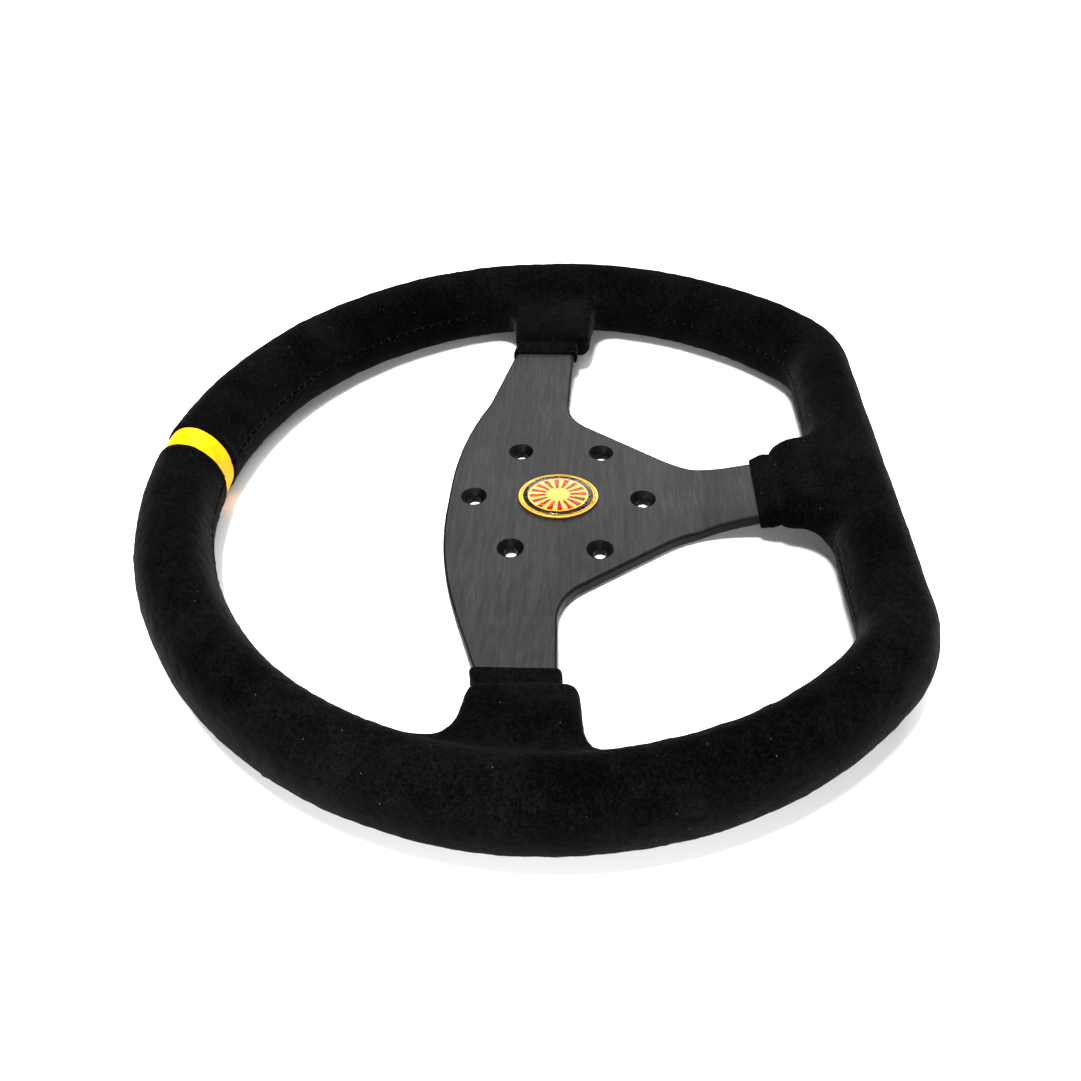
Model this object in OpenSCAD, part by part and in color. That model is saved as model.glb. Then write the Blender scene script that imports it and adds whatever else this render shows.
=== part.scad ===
// Flat-bottomed, three-spoke competition steering wheel with a suede grip.
// Origin: centre of the bolt circle, on the back of the spoke plate.
// +Z points at the driver, +Y at twelve o'clock and +X at three o'clock.

/* [Rim] */
// Overall diameter of the round part of the rim
rim_d = 320; // [310:1:330]
// Thickness of the grip, measured along the wheel's radius
grip_w = 26; // [25:0.5:28]
// Height of the grip, measured along the steering axis
grip_h = 35.2; // [33:0.2:37]
// Sideways distance from the hub centre to the centre of each bottom corner
corner_x = 74.75; // [73:0.05:77]
// Distance that the centres of the bottom corners lie below the hub centre
corner_drop = 82.8; // [80:0.05:84]
// How far the grip reaches behind the hub face
grip_back = 0.8; // [0.4:0.2:2]

/* [Spoke plate] */
// Thickness of the spoke plate
plate_t = 5; // [4:0.5:5]
// Distance from the hub centre to the first bend of a side spoke
side_bend_x = 67.5; // [66:0.5:69]
// Distance from the hub centre to the first bend of the bottom spoke
bottom_bend_y = 57; // [55:0.5:58]
// Angle of the bends that lift the spokes towards the driver
bend_angle = 15.5; // [15:0.5:16.5]
// Inside radius of the bends
bend_r = 22; // [14:1:26]

/* [Hub bolts] */
// Diameter of the bolt circle
bolt_circle_d = 70; // [69:0.5:71]
// Number of hub bolts
bolt_count = 6; // [3:1:8]
// Diameter of each bolt hole
bolt_hole_d = 5.5; // [5.2:0.1:6]
// Diameter of each countersink at the front face
countersink_d = 10.4; // [9.6:0.2:11]

/* [Suede cover] */
// Thickness of the suede
suede_t = 1.2; // [1:0.1:1.4]
// Width of the coloured stripe at twelve o'clock
marker_w = 10; // [8:1:14]
// How far the stripe lies below the suede beside it
marker_recess = 0.5; // [0.3:0.1:0.7]
// Width of the suede band around the end of each spoke's cover
band_w = 6.5; // [5:0.5:7]
// Distance between two stitches of the seams
stitch_pitch = 5; // [4:0.5:8]
// Diameter of the seam thread
thread_d = 0.7; // [0.5:0.1:0.9]

/* [Badge] */
// Width of the oval badge
badge_w = 27; // [24:0.5:30]
// Height of the oval badge
badge_h = 33; // [28:0.5:36]

/* [Hidden] */
$fn = 48;

// Colours
suede_black = [0.07, 0.07, 0.075];
anodised_grey = [0.22, 0.22, 0.23];
bare_aluminium = [0.75, 0.76, 0.78];
foam_grey = [0.3, 0.3, 0.31];
marker_yellow = [1, 0.87, 0.03];
thread_black = [0.12, 0.12, 0.12];
badge_gold = [0.85, 0.65, 0.2];

// Rim: the grip's oval section and the line that it follows
grip_a = grip_w / 2;
grip_b = grip_h / 2;
path_r = rim_d / 2 - grip_a;
grip_z = grip_b - grip_back;
// Radius of the bottom corners, so that they run smoothly out of the round part
corner_r = path_r - norm([corner_x, corner_drop]);
// Distance from the hub centre to the middle of the flat bottom
flat_y = corner_drop + corner_r;
// Angle, clockwise from twelve o'clock, at which the round part ends
corner_turn = atan2(corner_x, -corner_drop);
// A round angle well past that, where a stretch is cut off by the corner's plane
past_corner = 160;
oval_points = 40;

// Core ring: a flat strip on top of the spokes' tongues
core_w = 13;
core_t = 3.5;
tongue_z = grip_z - (plate_t + core_t) / 2;
tongue_end = path_r + 4;
tongue_low_y = -4;
tongue_high_y = 22.5;
tongue_half_w = 16.3;
rivet_d = 5;
rivet_head_d = 9;
rivet_head_t = 1.4;
side_rivet_y = [2, 16];
bottom_rivet_x = 9;

// Bends: the sheet climbs at bend_angle until its back is at tongue_z
bend_run = tongue_z / tan(bend_angle);
bend_shift = plate_t * tan(bend_angle / 2);

// Spoke covers: where the band and the padded part of each one start
side_hem_x = 97;
side_pad_x = side_hem_x + band_w;
bottom_hem_y = 80.4;
bottom_pad_y = bottom_hem_y + band_w;
pad_over_tongue = 5.4;
pad_under_tongue = 4.6;
// Lowest and highest point of a pad's front end, and the radii of its edges
pad_side_z = [6.6, 18];
pad_corner_r = 5;
pad_edge_r = 3.5;
// How much wider a pad is at the rim, on each side, and how far its flares reach beyond
pad_widen = 3.2;
flare_room = 12;
// How deep a flare's two ends lie inside the rim
flare_sink = [1, 2];
// Where a pad's top and back level out, before the rim's inside edge
pad_level = 9;
pad_level_r = 12;
// Lower and upper side of the side pads and their flares, and how far the round rim's
// inside edge falls back across them
side_pad_v = [-10.8, 24.6];
side_flare_r = [10, 14];
side_rim_curve = 4;
bottom_pad_half = 21;
bottom_flare_r = 11;
// Angles, clockwise from twelve o'clock, that the side cuffs cover on the rim
side_cuff_start = 72;
side_cuff_end = 104;
bottom_cuff_half = 34;
// Lower and upper side of the bands around the spokes
side_band_v = [-3.9, 24.1];
bottom_band_half = 16.8;

// Seams: a stitch's length and slant, how deep it sits and the room left at the seams' ends
stitch_l = 4;
stitch_slant = 30;
stitch_sink = 0.1;
side_seam_y = 7;
cuff_seam_room = 4;

// Badge: three layers and the radius of the dome
adhesive_t = 0.4;
badge_base_t = 0.9;
dome_t = 2;
dome_r = 75;
marker_half_turn = asin(marker_w / 2 / path_r);

// Outline of the plate's right half: x, y and the corner's radius
plate_edge = [
    [34.8, 45.4, 160],
    [101, 22.6, 10],
    [tongue_end, tongue_high_y, 4],
    [tongue_end, tongue_low_y, 4],
    [97, -3.8, 30],
    [55.9, -1.95, 20],
    [17.9, -55.9, 55],
    [tongue_half_w, -84, 30],
    [tongue_half_w, -flat_y - 4, 4]];

big = 400;

function unit(v) = v / norm(v);

// Points of the arc that rounds corner b between its neighbours a and c
function corner_arc(a, b, c, steps) =
    let (here = [b[0], b[1]],
        to_a = unit([a[0], a[1]] - here),
        to_c = unit([c[0], c[1]] - here),
        half = acos(to_a * to_c) / 2,
        centre = here + unit(to_a + to_c) * b[2] / sin(half),
        first = here + to_a * b[2] / tan(half) - centre,
        last = here + to_c * b[2] / tan(half) - centre,
        from = atan2(first[1], first[0]),
        turn = (atan2(last[1], last[0]) - from + 540) % 360 - 180)
    [for (i = [0:steps]) centre + b[2] * [cos(from + turn * i / steps), sin(from + turn * i / steps)]];

// A closed outline whose corners [x, y, radius] are rounded; radius 0 stays sharp
function rounded(corners, steps = 8) =
    let (n = len(corners))
    [for (i = [0:n - 1])
        let (a = corners[(i + n - 1) % n], b = corners[i], c = corners[(i + 1) % n])
        each (b[2] == 0 ? [[b[0], b[1]]] : corner_arc(a, b, c, steps))];

function mirrored_x(points) = [for (i = [len(points) - 1:-1:0]) let (p = points[i]) [-p[0], p[1], p[2]]];

// Side view of the bent sheet: it lies flat to the first bend, climbs and then lies flat again
function sheet_side(bend, reach, grow = 0) =
    let (shift = grow * tan(bend_angle / 2),
        level = bend + bend_run)
    rounded([
        [0, -grow, 0],
        [bend + shift, -grow, bend_r + plate_t + grow],
        [level + shift, tongue_z - grow, bend_r - grow],
        [reach, tongue_z - grow, 0],
        [reach, tongue_z + plate_t + grow, 0],
        [level - bend_shift - shift, tongue_z + plate_t + grow, bend_r + plate_t + grow],
        [bend - bend_shift - shift, plate_t + grow, bend_r - grow],
        [0, plate_t + grow, 0]]);

// Stands an outline drawn in the XZ plane up and gives it a depth along Y
module along_y(low, high) {
    translate([0, high, 0]) rotate([90, 0, 0]) linear_extrude(high - low) children();
}

// Turns a piece drawn for the three o'clock spoke to six o'clock
module at_bottom() {
    rotate([0, 0, -90]) children();
}

// The bent sheet before it is cut to its outline
module bent_sheet() {
    for (side = [0, 1]) mirror([side, 0, 0])
        along_y(-bottom_bend_y + 12, 60) polygon(sheet_side(side_bend_x, tongue_end + 1));
    at_bottom() along_y(-60, 60) polygon(sheet_side(bottom_bend_y, flat_y + 5));
}

// The whole plate without its bolt holes
module plate_body() {
    intersection() {
        linear_extrude(60, center = true) polygon(rounded(concat(plate_edge, mirrored_x(plate_edge)), 12));
        bent_sheet();
    }
}

module at_bolts() {
    for (i = [0:bolt_count - 1]) rotate([0, 0, 90 + i * 360 / bolt_count])
        translate([bolt_circle_d / 2, 0, 0]) children();
}

module bolt_hole() {
    sink = (countersink_d - bolt_hole_d) / 2;
    translate([0, 0, -1]) cylinder(d = bolt_hole_d, h = plate_t + 2);
    translate([0, 0, plate_t - sink]) cylinder(d1 = bolt_hole_d, d2 = countersink_d, h = sink);
    translate([0, 0, plate_t - 0.001]) cylinder(d = countersink_d, h = 1);
}

module at_rivets() {
    for (side = [-1, 1], y = side_rivet_y)
        translate([side * sqrt(pow(path_r, 2) - pow(y, 2)), y, 0]) children();
    for (side = [-1, 1]) translate([side * bottom_rivet_x, -flat_y, 0]) children();
}

// Section of the grip, shrunk by inset
module grip_oval(inset = 0) {
    polygon([for (i = [0:oval_points - 1]) let (t = i * 360 / oval_points)
        [(grip_a - inset) * cos(t), grip_z + (grip_b - inset) * sin(t)]]);
}

// Follows the round part between two clock angles with the child's section
module round_stretch(start, end) {
    rotate([0, 0, 90 - end]) rotate_extrude(angle = end - start, $fn = 180)
        translate([path_r, 0]) children();
}

// Keeps what lies above the planes where the round part runs into the corners
module above_corners() {
    far = [3 * corner_x, -3 * corner_drop];
    intersection() {
        children();
        linear_extrude(big, center = true) polygon([
            [0, 0], far, [big, far[1]], [big, big], [-big, big], [-big, far[1]], [-far[0], far[1]]]);
    }
}

// Follows the whole round part
module round_part() {
    above_corners() rotate_extrude($fn = 180) translate([path_r, 0]) children();
}

// Follows the right bottom corner
module corner_stretch() {
    far = [3 * corner_x, -3 * corner_drop];
    intersection() {
        translate([corner_x, -corner_drop, 0]) rotate_extrude($fn = 90) translate([corner_r, 0]) children();
        linear_extrude(big, center = true) polygon([
            [corner_x, -corner_drop], [corner_x, -big], [far[0], -big], far]);
    }
}

// Follows the flat bottom between two distances from its middle
module flat_stretch(from, to) {
    translate([to, -flat_y, 0]) rotate([0, 0, 180]) rotate([90, 0, 90])
        linear_extrude(to - from) children();
}

// Follows the whole rim with the child's section
module whole_rim() {
    round_part() children();
    for (side = [0, 1]) mirror([side, 0, 0]) corner_stretch() children();
    flat_stretch(-corner_x, corner_x) children();
}

// Padded part of a spoke's cover, drawn for the three o'clock spoke. It runs from pad_x to
// the rim at rim_x, side holds its lower and upper side and flare the radii that round it
// into the rim, whose inside edge falls back by curve. shrink takes it inside the suede.
module cuff_pad(pad_x, rim_x, side, flare, curve, shrink = 0) {
    front = pad_x + shrink;
    back = rim_x + grip_a / 2;
    low = side[0] + shrink;
    high = side[1] - shrink;
    low_end = low - pad_widen - flare_room - flare[0];
    high_end = high + pad_widen + flare_room + flare[0];
    under = tongue_z - pad_under_tongue + shrink;
    over = tongue_z + plate_t + pad_over_tongue - shrink;
    intersection() {
        linear_extrude(80, center = true) polygon(rounded([
            [front, low, pad_corner_r - shrink],
            [rim_x + flare_sink[0], low - pad_widen, flare[0]],
            [rim_x + flare_sink[1] - curve, low_end, 0],
            [back, low_end, 0],
            [back, high_end, 0],
            [rim_x + flare_sink[1] - curve, high_end, 0],
            [rim_x + flare_sink[0], high + pad_widen, flare[1]],
            [front, high, pad_corner_r - shrink]]));
        along_y(-60, 60) polygon(rounded([
            [front, pad_side_z[0] + shrink, pad_edge_r - shrink],
            [rim_x - pad_level, under, pad_level_r],
            [back, under, 0],
            [back, over, 0],
            [rim_x - pad_level, over, pad_level_r],
            [front, pad_side_z[1] - shrink, pad_edge_r - shrink]]));
    }
}

module side_pad(shrink = 0) {
    cuff_pad(side_pad_x, path_r - grip_a, side_pad_v, side_flare_r, side_rim_curve, shrink);
}

module bottom_pad(shrink = 0) {
    at_bottom() cuff_pad(bottom_pad_y, flat_y - grip_a, [-bottom_pad_half, bottom_pad_half],
        [bottom_flare_r, bottom_flare_r], 0, shrink);
}

module spoke_plate() {
    color(anodised_grey) difference() {
        plate_body();
        at_bolts() bolt_hole();
        at_rivets() cylinder(d = rivet_d, h = big, center = true);
    }
}

module core_strip() {
    translate([-core_w / 2, tongue_z + plate_t]) square([core_w, core_t]);
}

module rim_core_ring() {
    color(bare_aluminium) difference() {
        whole_rim() core_strip();
        at_rivets() cylinder(d = rivet_d, h = big, center = true);
    }
}

module rivet() {
    stack = plate_t + core_t;
    translate([0, 0, tongue_z - rivet_head_t]) cylinder(d = rivet_head_d, h = rivet_head_t);
    translate([0, 0, tongue_z - 0.01]) cylinder(d = rivet_d, h = stack + 0.02);
    translate([0, 0, tongue_z + stack]) cylinder(d = rivet_head_d, h = rivet_head_t);
}

module core_rivets() {
    color(bare_aluminium) at_rivets() rivet();
}

module rim_foam() {
    color(foam_grey) difference() {
        union() {
            whole_rim() grip_oval(suede_t);
            for (side = [0, 1]) mirror([side, 0, 0]) side_pad(suede_t);
            bottom_pad(suede_t);
        }
        plate_body();
        whole_rim() core_strip();
        at_rivets() rivet();
    }
}

// Thin oval ring: the section of a panel glued over the foam
module suede_section(outer_inset = 0) {
    difference() {
        grip_oval(outer_inset);
        grip_oval(suede_t);
    }
}

// Panel from the marker to the three o'clock spoke
module upper_panel() {
    color(suede_black) round_stretch(marker_half_turn, side_cuff_start) suede_section();
}

// Panel from the three o'clock spoke round the corner to the bottom spoke
module lower_panel() {
    color(suede_black) union() {
        above_corners() round_stretch(side_cuff_end, past_corner) suede_section();
        corner_stretch() suede_section();
        flat_stretch(bottom_cuff_half, corner_x) suede_section();
    }
}

module suede_upper_left() { mirror([1, 0, 0]) upper_panel(); }
module suede_upper_right() { upper_panel(); }
module suede_lower_left() { mirror([1, 0, 0]) lower_panel(); }
module suede_lower_right() { lower_panel(); }

module centre_marker() {
    color(marker_yellow) round_stretch(-marker_half_turn, marker_half_turn) suede_section(marker_recess);
}

// Everything between two clock angles, so that a cuff ends where the next panel starts
module wedge(start, end) {
    rotate([0, 0, 90 - end]) rotate_extrude(angle = end - start, $fn = 180)
        translate([60, -40]) square([120, 120]);
}

module side_cuff() {
    color(suede_black) difference() {
        union() {
            round_stretch(side_cuff_start, side_cuff_end) grip_oval();
            intersection() {
                side_pad();
                wedge(side_cuff_start, side_cuff_end);
            }
        }
        round_stretch(side_cuff_start - 1, side_cuff_end + 1) grip_oval(suede_t);
        side_pad(suede_t);
        plate_body();
    }
}

module cuff_left() { mirror([1, 0, 0]) side_cuff(); }
module cuff_right() { side_cuff(); }

module cuff_bottom() {
    color(suede_black) difference() {
        union() {
            flat_stretch(-bottom_cuff_half, bottom_cuff_half) grip_oval();
            intersection() {
                bottom_pad();
                translate([-bottom_cuff_half, -160, -40]) cube([2 * bottom_cuff_half, 120, 120]);
            }
        }
        flat_stretch(-bottom_cuff_half - 1, bottom_cuff_half + 1) grip_oval(suede_t);
        bottom_pad(suede_t);
        plate_body();
    }
}

// Sleeve of suede around a spoke, from hem to pad, drawn for the three o'clock spoke
module spoke_band(bend, hem, pad, side) {
    color(suede_black) difference() {
        intersection() {
            along_y(side[0] - suede_t, side[1] + suede_t) polygon(sheet_side(bend, pad + 20, suede_t));
            translate([hem, -80, -40]) cube([pad - hem, 160, 120]);
        }
        along_y(side[0], side[1]) polygon(sheet_side(bend, pad + 21));
    }
}

module side_band() { spoke_band(side_bend_x, side_hem_x, side_pad_x, side_band_v); }
module band_left() { mirror([1, 0, 0]) side_band(); }
module band_right() { side_band(); }
module band_bottom() {
    at_bottom() spoke_band(bottom_bend_y, bottom_hem_y, bottom_pad_y, [-bottom_band_half, bottom_band_half]);
}

// One stitch: a short length of thread. Every second one slants the other way
module stitch() {
    cylinder(d = thread_d, h = stitch_l, center = true, $fn = 16);
}

function slant(i) = i % 2 == 0 ? stitch_slant : -stitch_slant;

// Stitches along the inside of the round part
module round_seam(start, end) {
    seam_r = path_r - grip_a - thread_d / 2 + stitch_sink;
    count = floor((end - start) * PI / 180 * seam_r / stitch_pitch);
    for (i = [0:count - 1]) rotate([0, 0, 90 - start - (i + 0.5) * (end - start) / count])
        translate([seam_r, 0, grip_z]) rotate([slant(i), 0, 0]) stitch();
}

// Stitches along the inside of the right corner
module corner_seam() {
    seam_r = corner_r - grip_a - thread_d / 2 + stitch_sink;
    turn = 180 - corner_turn;
    count = floor(turn * PI / 180 * seam_r / stitch_pitch);
    translate([corner_x, -corner_drop, 0]) for (i = [0:count - 1])
        rotate([0, 0, -90 + (i + 0.5) * turn / count])
            translate([seam_r, 0, grip_z]) rotate([slant(i), 0, 0]) stitch();
}

// Stitches along the inside of the flat bottom
module flat_seam(from, to) {
    seam_y = -flat_y + grip_a + thread_d / 2 - stitch_sink;
    count = floor((to - from) / stitch_pitch);
    for (i = [0:count - 1]) translate([from + (i + 0.5) * (to - from) / count, seam_y, grip_z])
        rotate([slant(i), 0, -90]) stitch();
}

module upper_seam() { color(thread_black) round_seam(marker_half_turn + 1, side_cuff_start - 3); }
module lower_seam() {
    color(thread_black) {
        round_seam(side_cuff_end + 3, corner_turn);
        corner_seam();
        flat_seam(bottom_cuff_half + 6, corner_x);
    }
}

module seam_upper_left() { mirror([1, 0, 0]) upper_seam(); }
module seam_upper_right() { upper_seam(); }
module seam_lower_left() { mirror([1, 0, 0]) lower_seam(); }
module seam_lower_right() { lower_seam(); }

// Stitches along the back of a cuff's pad, drawn for the three o'clock spoke
module cuff_seam(pad_x, rim_x, y) {
    low = [pad_x + cuff_seam_room, pad_side_z[0]];
    high = [rim_x - cuff_seam_room, tongue_z - pad_under_tongue];
    count = floor((high[0] - low[0]) / stitch_pitch);
    color(thread_black) for (i = [0:count - 1])
        let (at = low + (high - low) * (i + 0.5) / count)
        translate([at[0], y, at[1] - thread_d / 2 - stitch_sink]) rotate([90, 0, slant(i)]) stitch();
}

module side_cuff_seam() { cuff_seam(side_pad_x, path_r - grip_a, side_seam_y); }
module cuff_seam_left() { mirror([1, 0, 0]) side_cuff_seam(); }
module cuff_seam_right() { side_cuff_seam(); }
module cuff_seam_bottom() { at_bottom() cuff_seam(bottom_pad_y, flat_y - grip_a, 0); }

// Oval outline of the badge, shrunk by inset
module badge_oval(inset = 0) {
    polygon([for (i = [0:59]) let (t = i * 6)
        [(badge_w / 2 - inset) * cos(t), (badge_h / 2 - inset) * sin(t)]]);
}

module badge_adhesive() {
    color("white") translate([0, 0, plate_t]) linear_extrude(adhesive_t) badge_oval(1);
}

module badge_base() {
    color(badge_gold) translate([0, 0, plate_t + adhesive_t]) linear_extrude(badge_base_t) badge_oval();
}

// Side view of the dome: a flat base and a round top
function dome_side(reach, steps = 12) = concat([[reach, 0], [-reach, 0]],
    [for (i = [0:steps]) let (x = -reach + 2 * reach * i / steps)
        [x, dome_t - dome_r + sqrt(pow(dome_r, 2) - pow(x, 2))]]);

module badge_dome() {
    color([1, 0.8, 0.35, 0.6]) translate([0, 0, plate_t + adhesive_t + badge_base_t]) intersection() {
        linear_extrude(dome_t) badge_oval(0.5);
        along_y(-badge_h, badge_h) polygon(dome_side(badge_w / 2));
        at_bottom() along_y(-badge_h, badge_h) polygon(dome_side(badge_h / 2));
    }
}

spoke_plate();
rim_core_ring();
core_rivets();
rim_foam();
suede_upper_left();
suede_upper_right();
suede_lower_left();
suede_lower_right();
centre_marker();
cuff_left();
cuff_right();
cuff_bottom();
band_left();
band_right();
band_bottom();
seam_upper_left();
seam_upper_right();
seam_lower_left();
seam_lower_right();
cuff_seam_left();
cuff_seam_right();
cuff_seam_bottom();
badge_adhesive();
badge_base();
badge_dome();
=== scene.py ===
"""Looks of a flat-bottomed, three-spoke steering wheel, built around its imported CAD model.

Everything is in metres, in the CAD model's frame: the origin is the centre of the bolt circle
on the back of the spoke plate, +Z points at the driver and +Y at twelve o'clock."""

import math
from contextlib import contextmanager
from dataclasses import dataclass

import bmesh
import bpy
import numpy as np
from mathutils import Matrix, Vector
from mathutils.geometry import delaunay_2d_cdt


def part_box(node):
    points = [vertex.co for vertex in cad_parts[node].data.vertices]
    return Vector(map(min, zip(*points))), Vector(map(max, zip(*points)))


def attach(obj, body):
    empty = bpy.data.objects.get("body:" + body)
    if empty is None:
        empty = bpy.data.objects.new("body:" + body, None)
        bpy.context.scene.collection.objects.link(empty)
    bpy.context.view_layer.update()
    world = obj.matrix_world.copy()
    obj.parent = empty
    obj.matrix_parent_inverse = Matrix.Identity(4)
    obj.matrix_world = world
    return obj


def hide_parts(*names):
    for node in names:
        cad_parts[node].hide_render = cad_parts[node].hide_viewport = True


MM = 0.001
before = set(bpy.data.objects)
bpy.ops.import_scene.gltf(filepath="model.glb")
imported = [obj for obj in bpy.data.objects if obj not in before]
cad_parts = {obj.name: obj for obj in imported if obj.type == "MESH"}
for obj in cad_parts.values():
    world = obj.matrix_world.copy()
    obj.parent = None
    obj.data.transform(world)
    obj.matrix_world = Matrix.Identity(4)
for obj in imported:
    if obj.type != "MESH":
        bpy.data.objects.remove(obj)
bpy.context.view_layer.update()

# Rim: half width and half height of the grip's oval, and the line that it follows
GRIP_A = 13 * MM
CORNER_X = 74.75 * MM
RIM_LOW, RIM_HIGH = (corner.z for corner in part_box("suede_upper_right"))
GRIP_B = (RIM_HIGH - RIM_LOW) / 2
GRIP_Z = (RIM_HIGH + RIM_LOW) / 2
OUTER_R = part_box("cuff_right")[1].x
PATH_R = OUTER_R - GRIP_A
FLAT_Y = -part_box("suede_lower_right")[0].y - GRIP_A
CORNER_DROP = (CORNER_X**2 - (PATH_R - FLAT_Y) ** 2) / (2 * (PATH_R - FLAT_Y))
CORNER_R = FLAT_Y - CORNER_DROP
CORNER_TURN = math.atan2(CORNER_X, -CORNER_DROP)
ROUND_LENGTH = PATH_R * CORNER_TURN
CORNER_LENGTH = CORNER_R * (math.pi - CORNER_TURN)
HALF_LENGTH = ROUND_LENGTH + CORNER_LENGTH + CORNER_X

# Places along the rim, as distances from twelve o'clock, where the covers' panels meet
MARKER_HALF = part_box("centre_marker")[1].x
CUFF_START = PATH_R * math.acos(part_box("cuff_right")[1].y / OUTER_R)
CUFF_END = PATH_R * math.acos(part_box("cuff_right")[0].y / OUTER_R)
BOTTOM_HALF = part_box("cuff_bottom")[1].x
BOTTOM_START = HALF_LENGTH - BOTTOM_HALF
SUEDE_T = 1.2 * MM

# Seam along the rim's inside: its stitches, its groove and lips, and the stretch in which it
# fades out before a panel's end
SEAM_PITCH = 5 * MM
GROOVE_DEPTH, GROOVE_WIDTH = 0.5 * MM, 0.35 * MM
LIP_HEIGHT, LIP_WIDTH, LIP_PLACE = 0.12 * MM, 0.8 * MM, 1.4 * MM
SEAM_FADE = 7 * MM

# Distance between the points of a mesh that shows the suede's nap
NAP_STEP = 0.85 * MM
# Edges sharper than these stay sharp: a suede panel's square ends, cut metal and the badge
PANEL_SHARP, METAL_SHARP, BADGE_SHARP = (math.radians(angle) for angle in (60, 20, 35))

# Spoke plate: bent up towards the driver between two bends
PLATE_T = 5 * MM
BEND_ANGLE = math.radians(15.5)
BEND_R = 22 * MM
SIDE_BEND = 67.5 * MM
BOTTOM_BEND = 57 * MM
TONGUE_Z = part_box("spoke_plate")[1].z - PLATE_T
BEND_RUN = TONGUE_Z / math.tan(BEND_ANGLE)
BAND_T = 1.5 * MM
# How far a band runs on under its cuff
BAND_TUCK = 1.5 * MM


# -------------------------------- camera


def add_camera():
    """Camera at the photo's angle. Its place and lens are a fit to the wheel's known shape."""
    azimuth, elevation, roll = math.radians(-88.765), math.radians(43.347), math.radians(0.139)
    target = Vector((-0.022116, -0.008914, 0.005))
    distance = 0.352457
    back = Vector((
        math.sin(azimuth) * math.cos(elevation),
        -math.cos(azimuth) * math.cos(elevation),
        math.sin(elevation),
    ))
    right = (-back).cross(Vector((0, 0, 1))).normalized()
    up = right.cross(-back)
    right, up = (
        math.cos(roll) * right + math.sin(roll) * up, math.cos(roll) * up - math.sin(roll) * right,
    )
    place = target + distance * back
    data = bpy.data.cameras.new("camera")
    data.sensor_width = 36
    data.lens = 29.66
    data.shift_x = -0.0352
    data.shift_y = -0.0056
    data.clip_start = 0.01
    camera = bpy.data.objects.new("camera", data)
    camera.matrix_world = Matrix([*zip(right, up, back, place), (0, 0, 0, 1)])
    bpy.context.scene.collection.objects.link(camera)
    bpy.context.scene.camera = camera


# -------------------------------- mesh helpers


def smoothstep(low, high, x):
    t = np.clip((x - low) / (high - low), 0, 1)
    return t * t * (3 - 2 * t)


def unit_circle(count, start=0):
    turns = start + np.arange(count) * 2 * math.pi / count
    return np.stack([np.cos(turns), np.sin(turns)], 1)


def mesh_object(name, points, faces, sharp=None):
    """A smooth-shaded object. Edges sharper than the angle sharp, if given, stay sharp."""
    mesh = bpy.data.meshes.new(name)
    mesh.from_pydata(np.asarray(points).reshape(-1, 3).tolist(), [], [list(f) for f in faces])
    mesh.polygons.foreach_set("use_smooth", np.ones(len(mesh.polygons), bool))
    if sharp is not None:
        mesh.set_sharp_from_angle(angle=sharp)
    mesh.update()
    piece = bpy.data.objects.new(name, mesh)
    bpy.context.scene.collection.objects.link(piece)
    return piece


@contextmanager
def editing(piece):
    """Opens a piece's mesh as a bmesh and puts the result back."""
    shape = bmesh.new()
    shape.from_mesh(piece.data)
    yield shape
    shape.to_mesh(piece.data)
    shape.free()


def turn_out(piece):
    """Makes a closed mesh's faces all point outwards."""
    with editing(piece) as shape:
        bmesh.ops.recalc_face_normals(shape, faces=shape.faces)
    return piece


def ring_faces(rows, cols, close_rows):
    """Quads between rows of points that each close into a ring."""
    last = rows if close_rows else rows - 1
    row, col = np.meshgrid(np.arange(last), np.arange(cols), indexing="ij")
    row, col = row.ravel(), col.ravel()
    next_row, next_col = (row + 1) % rows, (col + 1) % cols
    return np.stack([
        row * cols + col, row * cols + next_col, next_row * cols + next_col, next_row * cols + col,
    ], 1)


def closed_tube(name, rings, sharp=None):
    """A piece from rings of points: each ring closes, and the last one meets the first."""
    return turn_out(mesh_object(name, rings, ring_faces(*rings.shape[:2], True), sharp))


def polygon_cap(cols):
    return [list(range(cols))]


def strip_cap(cols):
    """Quads across a ring whose second half runs back beside its first half."""
    return [[i, i + 1, cols - 2 - i, cols - 1 - i] for i in range(cols // 2 - 1)]


def closed_parts(name, parts, cap, sharp=None):
    """One piece from closed parts: each is rows of rings, and cap closes its end rings."""
    points, faces = [], []
    for rings in parts:
        rows, cols = rings.shape[:2]
        offset = sum(len(p) for p in points)
        faces += (offset + ring_faces(rows, cols, False)).tolist()
        for first in (offset, offset + (rows - 1) * cols):
            faces += [[first + i for i in face] for face in cap(cols)]
        points.append(rings.reshape(-1, 3))
    return turn_out(mesh_object(name, np.concatenate(points), faces, sharp))


def ripple(points, size, seed, waves=28):
    """Smooth random heights, mostly from -1 to 1, whose bumps are about size apart."""
    rng = np.random.default_rng(seed)
    direction = rng.normal(size=(3, waves))
    direction /= np.linalg.norm(direction, axis=0)
    pitch = 2 * math.pi / (size * rng.uniform(0.7, 1.7, waves))
    phase = rng.uniform(0, 2 * math.pi, waves)
    return np.sin(points @ (direction * pitch) + phase).sum(-1) / math.sqrt(waves)


def suede_height(points):
    """How far the suede's surface stands off the CAD shape: soft hollows, a raised nap and a
    few tufts. It is pressed flat where the wheel lies on its back."""
    hollows = 0.14 * ripple(points, 34 * MM, 1) + 0.07 * ripple(points, 11 * MM, 2)
    nap = 0.05 * ripple(points, 4.2 * MM, 3) + 0.045 * ripple(points, 3 * MM, 4)
    tufts = 0.3 * np.clip(ripple(points, 3 * MM, 6) - 1.5, 0, 1)
    lift = (0.06 + hollows + nap + tufts) * MM
    return lift * smoothstep(RIM_LOW, RIM_LOW + 2.5 * MM, points[..., 2])


# -------------------------------- rim


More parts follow.
